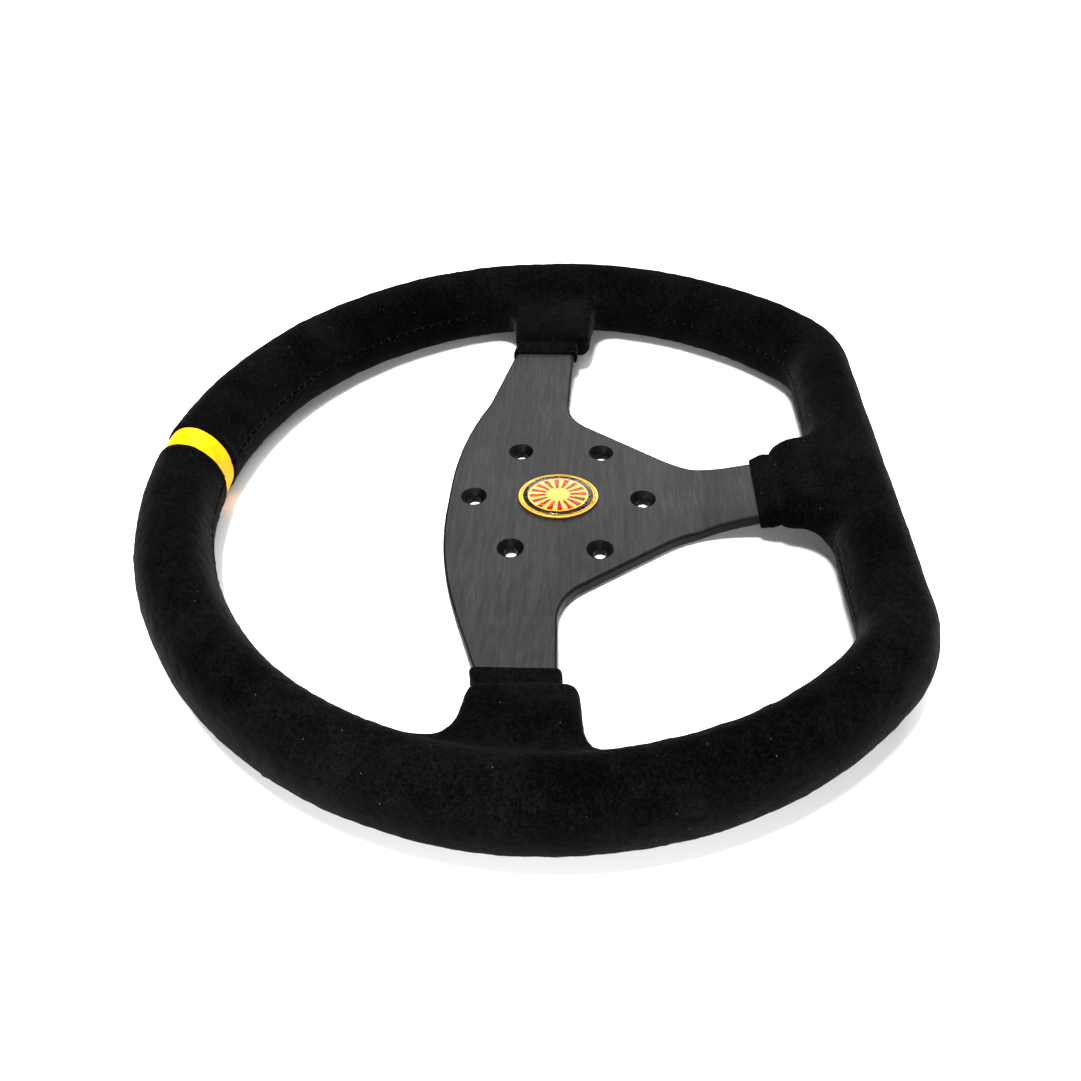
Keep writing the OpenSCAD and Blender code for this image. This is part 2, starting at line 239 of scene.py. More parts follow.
def rim_line(s):
    """Points (x, y) of the grip's middle line and its outward directions, at distances s
    from twelve o'clock, clockwise. Negative distances go the other way round."""
    side = np.where(s < 0, -1.0, 1.0)
    s = np.abs(s)
    turn = np.where(
        s < ROUND_LENGTH, s / PATH_R, np.minimum(CORNER_TURN + (s - ROUND_LENGTH) / CORNER_R, math.pi)
    )
    out = np.stack([np.sin(turn), np.cos(turn)], -1)
    corner = np.array([CORNER_X, -CORNER_DROP]) + CORNER_R * out
    flat = np.stack([CORNER_X - (s - ROUND_LENGTH - CORNER_LENGTH), np.full_like(s, -FLAT_Y)], -1)
    point = np.where((s < ROUND_LENGTH)[..., None], PATH_R * out, corner)
    point = np.where((s > ROUND_LENGTH + CORNER_LENGTH)[..., None], flat, point)
    flip = np.stack([side, np.ones_like(side)], -1)
    return point * flip, out * flip


def oval_angles(seam_step, step, fine_width):
    """Angles around the grip's oval, measured from its innermost line. They lie seam_step
    apart near that line and step apart elsewhere."""
    table = np.linspace(0, 2 * math.pi, 4001)
    speed = np.hypot(GRIP_A * np.sin(table), GRIP_B * np.cos(table))
    length = np.concatenate([[0], np.cumsum((speed[1:] + speed[:-1]) / 2 * np.diff(table))])
    around = length[-1]
    near = np.arange(0, fine_width, seam_step)
    count = round((around - 2 * near[-1]) / step)
    far = np.linspace(near[-1], around - near[-1], count + 1)[1:]
    places = np.concatenate([near, far, around - near[:0:-1]])[:-1]
    places = np.unique(np.round(places, 9))
    from_seam = np.minimum(places, around - places) * np.where(places > around / 2, -1, 1)
    return np.interp(places, length, table), from_seam


def oval_rings(s, angles, lift=0):
    """Rings of points on the grip's oval at distances s along the rim, raised by lift, which is
    one height or a table of them."""
    middle, out = rim_line(s)
    across, along = -np.cos(angles) * GRIP_A, np.sin(angles) * GRIP_B
    normal = np.stack([-np.cos(angles) / GRIP_A, np.sin(angles) / GRIP_B], -1)
    normal /= np.linalg.norm(normal, axis=-1, keepdims=True)
    across = across + lift * normal[:, 0]
    along = along + lift * normal[:, 1]
    flat = middle[:, None, :] + across[..., None] * out[:, None, :]
    return np.concatenate([flat, np.broadcast_to(GRIP_Z + along, flat.shape[:2])[..., None]], -1)


def seam_groove(from_seam, s):
    """Height of the seam, where the suede's two edges are turned in and sewn together: a groove
    between two lips that rise and fall with the stitches' pitch."""
    groove = -GROOVE_DEPTH * np.exp(-((from_seam / GROOVE_WIDTH) ** 2))
    lips = LIP_HEIGHT * np.exp(-(((np.abs(from_seam) - LIP_PLACE) / LIP_WIDTH) ** 2))
    pull = 1 + 0.35 * np.cos(2 * math.pi * s / SEAM_PITCH)
    return groove + lips * pull[:, None]


def rolled_edge(distance, radius):
    """How far a rounded edge has fallen at a distance from the panel's end."""
    return radius - np.sqrt(np.clip(radius**2 - np.clip(radius - distance, 0, radius) ** 2, 0, None))


def add_foam():
    """Moulded foam under the suede, with shallow pores, all the way round the rim."""
    step = 2.5 * MM
    angles, _ = oval_angles(1 * MM, step, 2 * MM)
    count = round(2 * HALF_LENGTH / step)
    s = np.linspace(-HALF_LENGTH, HALF_LENGTH, count + 1)[:-1]
    base = oval_rings(s, angles)
    lift = -SUEDE_T - (0.15 + 0.05 * ripple(base, 9 * MM, 7)) * MM
    return closed_tube("foam_ring", oval_rings(s, angles, lift))


def grip_panel(name, start, end, side, marker_end):
    """Suede panel along the rim between two distances from twelve o'clock. At its marker_end
    the suede's rolled edge shows, before a low welt; its other ends meet the cuffs."""
    angles, from_seam = oval_angles(GROOVE_WIDTH, NAP_STEP, 2.5 * MM)
    count = round((end - start) / NAP_STEP)
    s = np.linspace(start, end, count + 1)
    edge_r = 0.75 * MM
    welt, welt_place, welt_width = 0.25 * MM, 2.5 * MM, 2 * MM
    if marker_end:
        first = start + edge_r * (1 - np.cos(np.linspace(0, math.pi / 2, 7)))
        s = np.concatenate([first[:-1], np.linspace(start + edge_r, end, count)])
    base = oval_rings(side * s, angles)
    lift = suede_height(base)
    fade = smoothstep(0, SEAM_FADE, end - s)
    if not marker_end:
        fade = fade * smoothstep(0, SEAM_FADE, s - start)
    lift = lift + seam_groove(from_seam[None, :], s) * fade[:, None]
    if marker_end:
        lift = lift - rolled_edge(s - start, edge_r)[:, None]
        lift = lift + welt * np.exp(-(((s - start - welt_place) / welt_width) ** 2))[:, None]
    outer = oval_rings(side * s, angles, lift)
    inner_s = np.linspace(end, start, max(8, count // 6))
    inner = oval_rings(side * inner_s, angles, -SUEDE_T)
    return closed_tube(name, np.concatenate([outer, inner]), PANEL_SHARP)


def add_marker():
    """Strip of smooth leather glued round the rim at twelve o'clock, lower than the suede and
    tucked under its rolled edges."""
    angles, from_seam = oval_angles(0.5 * MM, 0.9 * MM, 2 * MM)
    tuck = 0.6 * MM
    reach = MARKER_HALF + tuck
    s = np.linspace(-reach, reach, 19)
    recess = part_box("suede_upper_right")[1].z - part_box("centre_marker")[1].z
    base = oval_rings(s, angles, -recess)
    crown = 0.12 * MM * (1 - (s / reach) ** 2)[:, None]
    lift = crown - recess + 0.03 * MM * ripple(base, 7 * MM, 5)
    lift = lift - 0.35 * MM * np.exp(-((from_seam / (0.4 * MM)) ** 2))[None, :]
    outer = oval_rings(s, angles, lift)
    inner = oval_rings(s[::-3], angles, -SUEDE_T)
    return closed_tube("marker_strip", np.concatenate([outer, inner]))


# -------------------------------- spoke covers


def surface_net(distance, low, high, step):
    """Points and quads of the surface where distance(points) is zero, inside a box."""
    axes = [np.arange(l, h + step, step) for l, h in zip(low, high)]
    inside = distance(np.stack(np.meshgrid(*axes, indexing="ij"), -1)) < 0
    ends = (slice(None, -1), slice(1, None))
    cells = sum(inside[i, j, k].astype(int) for i in ends for j in ends for k in ends)
    active = (cells > 0) & (cells < 8)
    index = np.full(active.shape, -1)
    index[active] = np.arange(active.sum())
    points = np.array([a[0] for a in axes]) + (np.argwhere(active) + 0.5) * step
    faces = []
    for d in range(3):
        a, b = (d + 1) % 3, (d + 2) % 3
        here = inside.take(range(inside.shape[d] - 1), d)
        there = inside.take(range(1, inside.shape[d]), d)
        cut = np.argwhere(here != there)
        cut = cut[(cut[:, a] > 0) & (cut[:, b] > 0)]
        cut = cut[(cut[:, a] < inside.shape[a] - 1) & (cut[:, b] < inside.shape[b] - 1)]
        corners = []
        for da, db in ((0, 0), (-1, 0), (-1, -1), (0, -1)):
            cell = cut.copy()
            cell[:, a] += da
            cell[:, b] += db
            corners.append(index[tuple(cell.T)])
        quads = np.stack(corners, 1)
        flip = here[tuple(cut.T)]
        quads[~flip] = quads[~flip][:, ::-1]
        faces.append(quads)
    return points, np.concatenate(faces)


def slope(distance, points, h=0.02 * MM):
    steps = np.eye(3) * h
    return np.stack([(distance(points + e) - distance(points - e)) / (2 * h) for e in steps], -1)


def settle(points, faces, distance, rounds=6):
    """Evens out a surface net's points and puts them onto the surface."""
    pairs = np.concatenate([faces[:, [i, (i + 1) % 4]] for i in range(4)])
    pairs = np.unique(np.sort(pairs, 1), axis=0)
    links = np.bincount(pairs.ravel(), minlength=len(points)).astype(float)
    for turn in range(rounds):
        if turn:
            total = np.zeros_like(points)
            np.add.at(total, pairs[:, 0], points[pairs[:, 1]])
            np.add.at(total, pairs[:, 1], points[pairs[:, 0]])
            points = points + 0.6 * (total / links[:, None] - points)
        for _ in range(3):
            gradient = slope(distance, points)
            length = np.maximum((gradient**2).sum(-1), 1e-3)
            move = -(distance(points) / length)[:, None] * gradient
            points = points + np.clip(move, -0.8 * MM, 0.8 * MM)
    return points


def smooth_min(a, b, blend):
    h = np.clip(blend - np.abs(a - b), 0, None) / blend
    return np.minimum(a, b) - h * h * blend / 4


def oval_distance(q, w):
    """Distance to the grip's oval from a point q outside its middle line and w above it."""
    near = np.hypot(q / GRIP_A, w / GRIP_B)
    return near * (near - 1) / np.maximum(np.hypot(q / GRIP_A**2, w / GRIP_B**2), 1e-6)


def ramp(u, corner, radius):
    """Height of a slope of BEND_ANGLE that starts at corner, rounded by radius."""
    tangent = radius * math.tan(BEND_ANGLE / 2)
    on_arc = np.clip(u - corner + tangent, 0, radius * math.sin(BEND_ANGLE))
    arc = radius - np.sqrt(radius**2 - on_arc**2)
    straight = np.clip(u - corner + tangent - radius * math.sin(BEND_ANGLE), 0, None)
    return arc + straight * math.tan(BEND_ANGLE)


def sheet_back(u, bend):
    """Height of the bent plate's back at distance u from the hub."""
    return ramp(u, bend, BEND_R + PLATE_T) - ramp(u, bend + BEND_RUN, BEND_R)


def sheet_front(u, bend):
    shift = PLATE_T * math.tan(BEND_ANGLE / 2)
    return PLATE_T + ramp(u, bend - shift, BEND_R) - ramp(u, bend + BEND_RUN - shift, BEND_R + PLATE_T)


# Padded part of a cuff: its back and front heights where the band ends and at the rim, how far
# before the rim it levels out, how much each side widens, its crown and its blend into the rim
PAD_FRONT = (6.6 * MM, 18.1 * MM)
PAD_ROOT = (TONGUE_Z - 4.6 * MM, TONGUE_Z + PLATE_T + 5.4 * MM)
PAD_LEVEL = 9 * MM
PAD_WIDEN = 3.2 * MM
PAD_CROWN = 0.35 * MM
TOP_BLEND = 6.5 * MM


@dataclass
class Cuff:
    """The cover at one spoke's root, in the spoke's own frame: u runs out along the spoke,
    v across it and z up. low and high are the padded part's sides at its front end, and flares
    says how softly each side runs into the rim."""

    front: float
    rim_u: float
    rim_q: object
    low: float
    high: float
    edge_r: float
    flares: tuple

    def gaps(self, p):
        """How far a point lies outside the padded part, a block that widens and thickens
        towards the rim, in each direction, and its place across the block, from -1 to 1."""
        u, v, z = p[..., 0], p[..., 1], p[..., 2]
        widen = PAD_WIDEN * np.clip((u - self.front) / (self.rim_u - self.front), 0, 1.3)
        low, high = self.low - widen, self.high + widen
        climb = smooth_min(np.clip((u - self.front) / (self.rim_u - PAD_LEVEL - self.front), 0, 2), 1.0, 0.3)
        under = PAD_FRONT[0] + (PAD_ROOT[0] - PAD_FRONT[0]) * climb
        over = PAD_FRONT[1] + (PAD_ROOT[1] - PAD_FRONT[1]) * climb
        reach = self.rim_u + GRIP_A / 2
        middle, half = (low + high) / 2, (high - low) / 2
        return np.stack([
            np.abs(u - (self.front + reach) / 2) - (reach - self.front) / 2,
            np.abs(v - middle) - half,
            np.abs(z - (under + over) / 2) - (over - under) / 2,
        ], -1), (v - middle) / half

    def distance(self, p):
        """Distance to the rim and the padded part, which runs into the rim in soft flares."""
        u, v, z = p[..., 0], p[..., 1], p[..., 2]
        gaps, across = self.gaps(p)
        beside = smoothstep(-4 * MM, 4 * MM, gaps[..., 1] - gaps[..., 2])
        gaps = gaps + self.edge_r
        outside = np.linalg.norm(np.clip(gaps, 0, None), axis=-1)
        crown = PAD_CROWN * np.clip(1 - across**2, 0, None)
        pad = outside + np.minimum(gaps.max(-1), 0) - self.edge_r - crown
        flare = self.flares[0] + (self.flares[1] - self.flares[0]) * smoothstep(self.low, self.high, v)
        blend = TOP_BLEND + (flare - TOP_BLEND) * beside
        return smooth_min(oval_distance(self.rim_q(u, v), z - GRIP_Z), pad, blend)


def round_q(u, v):
    return np.hypot(u, v) - PATH_R


def flat_q(u, v):
    return u - FLAT_Y


def spoke_point(points, spoke):
    """Turns points of a spoke's own frame into the wheel's frame."""
    u, v, z = points[..., 0], points[..., 1], points[..., 2]
    x, y = {"right": (u, v), "left": (-u, v), "bottom": (v, -u)}[spoke]
    return np.stack([x, y, z], -1)


def cuff_mesh(cuff, spoke, low, high, planes):
    """Skin of a cuff, cut off at the planes where the rim's panels start."""
    points, faces = surface_net(cuff.distance, low, high, NAP_STEP)
    points = settle(points, faces, cuff.distance)
    normal = slope(cuff.distance, points)
    normal /= np.linalg.norm(normal, axis=-1, keepdims=True)
    points = points + normal * suede_height(spoke_point(points, spoke))[:, None]
    piece = mesh_object(f"cuff_cover_{spoke}", points, faces)
    with editing(piece) as shape:
        for place, direction in planes:
            bmesh.ops.bisect_plane(
                shape, geom=shape.verts[:] + shape.edges[:] + shape.faces[:], dist=0.05 * MM,
                plane_co=place, plane_no=direction, clear_outer=True,
            )
    thickness = piece.modifiers.new("thickness", "SOLIDIFY")
    thickness.thickness = SUEDE_T
    thickness.offset = -1
    apply_modifiers(piece)
    for vertex in piece.data.vertices:
        vertex.co = spoke_point(np.array(vertex.co), spoke)
    piece.data.set_sharp_from_angle(angle=PANEL_SHARP)
    return turn_out(piece)


def apply_modifiers(piece):
    bpy.context.view_layer.update()
    finished = bpy.data.meshes.new_from_object(piece.evaluated_get(bpy.context.evaluated_depsgraph_get()))
    piece.modifiers.clear()
    piece.data = finished
    finished.name = piece.name


CUFF_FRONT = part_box("band_right")[1].x
BOTTOM_FRONT = -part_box("band_bottom")[0].y
SIDE_CUFF = Cuff(
    CUFF_FRONT, PATH_R - GRIP_A, round_q,
    low=-10.8 * MM, high=24.6 * MM, edge_r=4.2 * MM, flares=(11.5 * MM, 16 * MM),
)
BOTTOM_CUFF = Cuff(
    BOTTOM_FRONT, FLAT_Y - GRIP_A, flat_q,
    low=-21 * MM, high=21 * MM, edge_r=5.2 * MM, flares=(13 * MM, 7 * MM),
)


def add_cuffs():
    margin = 3 * MM
    start, end = CUFF_START / PATH_R, CUFF_END / PATH_R
    low = (CUFF_FRONT - margin, OUTER_R * math.cos(end) - margin, RIM_LOW - margin)
    high = (OUTER_R + margin, OUTER_R * math.cos(start) + margin, RIM_HIGH + margin)
    side_planes = [
        ((0, 0, 0), (-math.cos(start), math.sin(start), 0)),
        ((0, 0, 0), (math.cos(end), -math.sin(end), 0)),
    ]
    right = cuff_mesh(SIDE_CUFF, "right", low, high, side_planes)
    left = cuff_mesh(SIDE_CUFF, "left", low, high, side_planes)
    low = (BOTTOM_FRONT - margin, -BOTTOM_HALF - margin, RIM_LOW - margin)
    high = (FLAT_Y + GRIP_A + margin, BOTTOM_HALF + margin, RIM_HIGH + margin)
    bottom_planes = [((0, BOTTOM_HALF, 0), (0, 1, 0)), ((0, -BOTTOM_HALF, 0), (0, -1, 0))]
    bottom = cuff_mesh(BOTTOM_CUFF, "bottom", low, high, bottom_planes)
    return right, left, bottom


def rounded_box_ring(width, height, radius, steps, side_points):
    """Points and outward directions round a rectangle with rounded corners."""
    reach = np.array([width / 2 - radius, height / 2 - radius])
    corners = [reach * sign for sign in ((1, 1), (-1, 1), (-1, -1), (1, -1))]
    points, normals = [], []
    for quarter, (here, after) in enumerate(zip(corners, corners[1:] + corners[:1])):
        turns = (quarter + np.arange(steps + 1) / steps) * math.pi / 2
        arc = np.stack([np.cos(turns), np.sin(turns)], 1)
        count = side_points[quarter % 2]
        along = np.arange(1, count)[:, None] / count
        points += [here + radius * arc, here + (after - here) * along + radius * arc[-1]]
        normals += [arc, np.repeat(arc[-1:], count - 1, 0)]
    return np.concatenate(points), np.concatenate(normals)


def band_mesh(spoke, bend, hem, front, low, high, taper, swell):
    """Hem of suede around a spoke: its front edge is folded under and it runs into the cuff.
    swell says how much its sides and its top swell out on the way to the cuff."""
    outline, normals = rounded_box_ring(high - low, PLATE_T, 0.8 * MM, 5, (38, 8))
    length = front + BAND_TUCK - hem
    edge = BAND_T / 2
    profile = []
    for t in np.linspace(0, math.pi / 2, 7):
        profile.append((edge * (1 - math.cos(t)), edge + edge * math.sin(t)))
    for f in np.linspace(0, 1, 13)[1:]:
        sag = 0.55 * MM * smoothstep(0.55, 1, f) - 0.12 * MM * math.sin(math.pi * min(f / 0.6, 1))
        profile.append((edge + f * (length - edge), BAND_T - sag))
    for f in np.linspace(1, 0, 9):
        profile.append((edge + f * (length - edge), 0.02 * MM))
    for t in np.linspace(math.pi / 2, 0, 5)[1:-1]:
        profile.append((edge * (1 - math.cos(t)), edge - edge * math.sin(t)))
    rings = []
    for forward, out in profile:
        u = hem + forward
        shrink = taper * (u - hem)
        growth = smoothstep(0, length - BAND_TUCK, forward) if out > edge else 0
        v = (low + high - shrink) / 2 + outline[:, 0] * (1 - shrink / (high - low))
        v = v + normals[:, 0] * (out + swell[0] * growth)
        tilt = outline[:, 1] + normals[:, 1] * (out + swell[1] * growth * (normals[:, 1] > 0))
        middle = (sheet_back(u, bend) + sheet_front(u, bend)) / 2
        rings.append(np.stack([
            np.full_like(v, u) - tilt * math.sin(BEND_ANGLE), v, middle + tilt * math.cos(BEND_ANGLE),
        ], -1))
    rings = np.array(rings)
    wobble = suede_height(spoke_point(rings, spoke)) * 0.8
    rows = np.array([out > BAND_T * 0.3 for _, out in profile])
    rings[..., 1] += (wobble * normals[:, 0]) * rows[:, None]
    rings[..., 2] += (wobble * normals[:, 1]) * rows[:, None]
    return closed_tube(f"band_cover_{spoke}", spoke_point(rings, spoke))


def add_bands():
    side_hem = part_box("band_right")[0].x
    bottom_hem = -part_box("band_bottom")[1].y
    side = (SIDE_BEND, side_hem, CUFF_FRONT, -3.9 * MM, 24.1 * MM, 0.3, (0, 0))
    right = band_mesh("right", *side)
    left = band_mesh("left", *side)
    bottom = band_mesh(
        "bottom", BOTTOM_BEND, bottom_hem, BOTTOM_FRONT, -16.8 * MM, 16.8 * MM, 0, (1.2 * MM, 1.4 * MM),
    )
    return right, left, bottom


# -------------------------------- seams

THREAD_R = 0.3 * MM
TWIST_PITCH = 2.2 * MM
# Half of a stitch's length, and how far its ends lie beside the seam: on the rim and on a cuff
RIM_STITCH = (1 * MM, 1.5 * MM)
CUFF_STITCH = (1.5 * MM, 1 * MM)
CUFF_SEAM_END = 4 * MM


def stitch_rings(start, end, rise):
    """Rings of one stitch from start to end, bowed along rise: two twisted strands that dive
    into the suede at both ends."""
    length = np.linalg.norm(end - start)
    across = np.cross((end - start) / length, rise)
    circle = unit_circle(12)
    rings = []
    for f in np.linspace(0, 1, 11):
        bow = math.sin(math.pi * f) ** 0.5 * 1.7 * THREAD_R - 1.9 * THREAD_R
        centre = start + (end - start) * f + rise * bow
        turn = 2 * math.pi * f * length / TWIST_PITCH
        strands = np.abs(circle @ (math.cos(turn), math.sin(turn)))
        radius = THREAD_R * (0.78 + 0.22 * strands[:, None])
        rings.append(centre + radius * (circle @ (across, rise)))
    return np.array(rings)


def stitch_places(first, last):
    """Middles of the stitches along a seam, with the slant of each, 1 or -1 in turn."""
    count = int((last - first) / SEAM_PITCH)
    return [(first + (i + 0.5) * (last - first) / count, 1 - i % 2 * 2) for i in range(count)]


def rim_seam(name, start, end, side):
    """Slanted stitches that hold the suede's edges together along the rim's inside."""
    stitches = []
    for s, slant in stitch_places(start, end):
        ends = []
        for way in (-1, 1):
            place = np.array([side * (s + way * RIM_STITCH[0])])
            angle = np.array([way * slant * RIM_STITCH[1] / GRIP_B])
            ends.append(oval_rings(place, angle)[0, 0])
        _, out = rim_line(np.array([side * s]))
        stitches.append(stitch_rings(ends[0], ends[1], np.array([-out[0, 0], -out[0, 1], 0])))
    return closed_parts(name, stitches, polygon_cap)


def cuff_seam(cuff, spoke, v):
    """Stitches along the back of a cuff's padded part."""
    stitches = []
    for u, slant in stitch_places(cuff.front + CUFF_SEAM_END, cuff.rim_u - CUFF_SEAM_END):
        ends = []
        for way in (-1, 1):
            place = np.array([u + way * CUFF_STITCH[0], v + way * slant * CUFF_STITCH[1], 0.0])
            for _ in range(12):
                place[2] += cuff.distance(place[None])[0]
            ends.append(place)
        stitches.append(stitch_rings(ends[0], ends[1], np.array([0.0, 0.0, -1.0])))
    stitches = [spoke_point(rings, spoke) for rings in stitches]
    return closed_parts(f"stitches_cuff_{spoke}", stitches, polygon_cap)


# -------------------------------- spoke plate

EDGE_R = 1.0 * MM
OUTLINE_STEP = 1.3 * MM
FACE_STEP = 2.4 * MM
# Corners of a bolt hole's circle
HOLE_SIDES = 48
# Width of the broken edges of a countersink at the front and of a hole at the back
SINK_EDGE = 0.15 * MM
HOLE_EDGE = 0.25 * MM


def unit(vector):
    return vector / np.linalg.norm(vector)


def rounded_outline(corners, spacing):
    """A closed outline of corners (x, y, radius), as points about spacing apart."""
    places = np.array(corners)[:, :2]
    points = []
    for i, here in enumerate(places):
        radius = corners[i][2]
        to_a, to_c = unit(places[i - 1] - here), unit(places[(i + 1) % len(places)] - here)
        half = math.acos(np.clip(to_a @ to_c, -1, 1)) / 2
        centre = here + unit(to_a + to_c) * radius / math.sin(half)
        first, last = (here + way * radius / math.tan(half) - centre for way in (to_a, to_c))
        begin = math.atan2(first[1], first[0])
        turn = (math.atan2(last[1], last[0]) - begin + 3 * math.pi) % (2 * math.pi) - math.pi
        steps = max(3, round(abs(turn) * radius / spacing))
        for k in range(steps + 1):
            a = begin + turn * k / steps
            points.append(centre + radius * np.array([math.cos(a), math.sin(a)]))
    filled = []
    for a, b in zip(points, points[1:] + points[:1]):
        steps = max(1, round(np.linalg.norm(b - a) / spacing))
        filled += [a + (b - a) * k / steps for k in range(steps)]
    return np.array(filled)


def shrunk(outline, inset):
    """The outline moved inwards; it runs clockwise or anticlockwise."""
    tangent = np.roll(outline, -1, 0) - np.roll(outline, 1, 0)
    tangent /= np.linalg.norm(tangent, axis=1, keepdims=True)
    normal = np.stack([-tangent[:, 1], tangent[:, 0]], 1)
    x, y = outline.T
    area = (x * np.roll(y, -1) - np.roll(x, -1) * y).sum()
    return outline + normal * inset * np.sign(area)


def plate_half():
    """Corners of the plate's right half: x, y and the corner's radius."""
    end_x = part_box("spoke_plate")[1].x
    end_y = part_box("spoke_plate")[0].y
    corners = [
        (34.8, 45.4, 160), (101, 22.6, 10), (end_x / MM, 22.5, 4), (end_x / MM, -4, 4), (97, -3.8, 30),
        (55.9, -1.95, 20), (17.9, -55.9, 55), (16.3, -84, 30), (16.3, end_y / MM, 4),
    ]
    return [tuple(value * MM for value in corner) for corner in corners]


def plate_heights(points):
    """Back and front height of the bent plate under points (x, y)."""
    u, w = np.abs(points[:, 0]), -points[:, 1]
    back = sheet_back(u, SIDE_BEND) + sheet_back(w, BOTTOM_BEND)
    front = sheet_front(u, SIDE_BEND) + sheet_front(w, BOTTOM_BEND) - PLATE_T
    return back, front


BOLT_R = 35 * MM
HOLE_R = 2.75 * MM
SINK_R = 5.2 * MM


def bolt_places():
    return BOLT_R * unit_circle(6, math.pi / 2)


def plate_face(outline, hole_r):
    """Triangles inside an outline, around the bolt holes."""
    loops = [outline] + [centre + hole_r * unit_circle(HOLE_SIDES) for centre in bolt_places()]
    edges, offset = [], 0
    for loop in loops:
        edges += [(offset + i, offset + (i + 1) % len(loop)) for i in range(len(loop))]
        offset += len(loop)
    fixed = np.concatenate(loops)
    x, y = np.meshgrid(
        np.arange(outline[:, 0].min(), outline[:, 0].max(), FACE_STEP),
        np.arange(outline[:, 1].min(), outline[:, 1].max(), FACE_STEP * 0.87),
    )
    x[1::2] += FACE_STEP / 2
    inner = np.stack([x.ravel(), y.ravel()], 1)
    gap = np.min([np.hypot(*(inner - p).T) for p in fixed], axis=0)
    inner = inner[gap > OUTLINE_STEP]
    points = [Vector(p) for p in np.concatenate([fixed, inner])]
    made = delaunay_2d_cdt(points, edges, [], 1, 1e-6)
    flat = np.array([tuple(p) for p in made[0]])
    faces = []
    for face in made[2]:
        middle = flat[list(face)].mean(0)
        if all(np.hypot(*(middle - centre)) > hole_r for centre in bolt_places()):
            faces.append(list(face))
    return flat, faces


def add_plate():
    """Bent spoke plate with its rounded edge and countersunk bolt holes."""
    half = plate_half()
    corners = half + [(-x, y, r) for x, y, r in reversed(half)]
    outline = rounded_outline(corners, OUTLINE_STEP)
    inset = shrunk(outline, EDGE_R)
    points, faces = [], []

    def add(rings, ring_quads):
        offset = sum(len(p) for p in points)
        points.append(rings)
        faces.extend([offset + i for i in quad] for quad in ring_quads)

    flat, triangles = plate_face(inset, SINK_R + SINK_EDGE)
    add(np.column_stack([flat, plate_heights(flat)[1]]), triangles)
    flat, triangles = plate_face(inset, HOLE_R + HOLE_EDGE)
    add(np.column_stack([flat, plate_heights(flat)[0]]), triangles)
    turns = np.radians([0, 45, 90])
    rings = [shrunk(outline, EDGE_R * (1 - math.sin(a))) for a in turns]
    falls = EDGE_R * (1 - np.cos(turns))
    side = [np.column_stack([ring, plate_heights(ring)[1] - fall]) for ring, fall in zip(rings, falls)]
    side += [np.column_stack([ring, plate_heights(ring)[0] + fall]) for ring, fall in zip(rings, falls)][::-1]
    add(np.concatenate(side), ring_faces(len(side), len(outline), False).tolist())
    circle = unit_circle(HOLE_SIDES)
    sink = SINK_R - HOLE_R
    hole = [
        (SINK_R + SINK_EDGE, PLATE_T), (SINK_R, PLATE_T - 0.1 * MM), (HOLE_R, PLATE_T - sink),
        (HOLE_R, HOLE_EDGE), (HOLE_R + HOLE_EDGE, 0),
    ]
    for centre in bolt_places():
        rings = [np.column_stack([centre + r * circle, np.full(HOLE_SIDES, z)]) for r, z in hole]
        add(np.concatenate(rings), ring_faces(len(hole), HOLE_SIDES, False).tolist())
    plate = mesh_object("spoke_plate_cut", np.concatenate(points), faces)
    with editing(plate) as shape:
        bmesh.ops.remove_doubles(shape, verts=shape.verts, dist=0.01 * MM)
        bmesh.ops.recalc_face_normals(shape, faces=shape.faces)
    plate.data.set_sharp_from_angle(angle=METAL_SHARP)
    return plate


# -------------------------------- badge


def oval_disc(name, half_w, half_h, profile, sides=96):
    """An oval disc: profile lists (inset from the edge, height), from its top's middle
    outwards and down to its underside."""
    oval = unit_circle(sides) * (half_w, half_h)
    rings = np.array([
        np.column_stack([oval * (1 - inset / half_w), np.full(sides, height)])
        for inset, height in profile
    ])
    return closed_parts(name, [rings], polygon_cap, BADGE_SHARP)


def add_badge():
    """Domed oval badge: a gold plate with a raised rim and clear resin over its inlays."""
    low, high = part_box("badge_base")
    half_w, half_h = high.x, high.y
    dome_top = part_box("badge_dome")[1].z
    soft = 0.25 * MM
    field = high.z - INLAY_DEPTH
    base = oval_disc("badge_plate", half_w, half_h, [
        (half_w * 0.98, field), (half_w * 0.5, field), (1.15 * MM, field), (1.05 * MM, high.z),
        (soft, high.z), (soft * 0.3, high.z - soft * 0.3), (0, high.z - soft), (0, low.z),
    ])
    dome_in = 0.45 * MM
    rise = dome_top - high.z
    profile = [(half_w * 0.985, dome_top)]
    for f in np.linspace(0.1, 1, 22):
        height = rise * (1 - f**2 * 0.62) * math.sqrt(max(0, 1 - f**14))
        profile.append(((half_w - dome_in) * (1 - f) + dome_in, high.z + max(height, 0.04 * MM)))
    sunk = 0.02 * MM
    profile += [(dome_in, high.z - sunk), (1.2 * MM, high.z - sunk), (1.3 * MM, field - sunk)]
    dome = oval_disc("badge_resin_dome", half_w, half_h, profile)
    return base, dome


INLAY_DEPTH = 0.2 * MM
RAY_COUNT = 16


def oval_patch(half_w, half_h, floor, inner, outer, start, end, steps):
    """Rings of an enamel patch between two fractions of an oval and two angles. It stands on
    the badge's sunk field."""
    bevel = 0.05 * MM
    level = INLAY_DEPTH - 0.04 * MM
    loops = []
    for inset, height in ((0, 0), (0, level - bevel), (bevel, level)):
        shift = inset / half_w
        turns = np.linspace(start + shift, end - shift, steps)
        loop = [((outer - shift) * math.cos(t), (outer - shift) * math.sin(t)) for t in turns]
        loop += [((inner + shift) * math.cos(t), (inner + shift) * math.sin(t)) for t in turns[::-1]]
        loops.append([(x * half_w, y * half_h, floor + height) for x, y in loop])
    return np.array(loops)


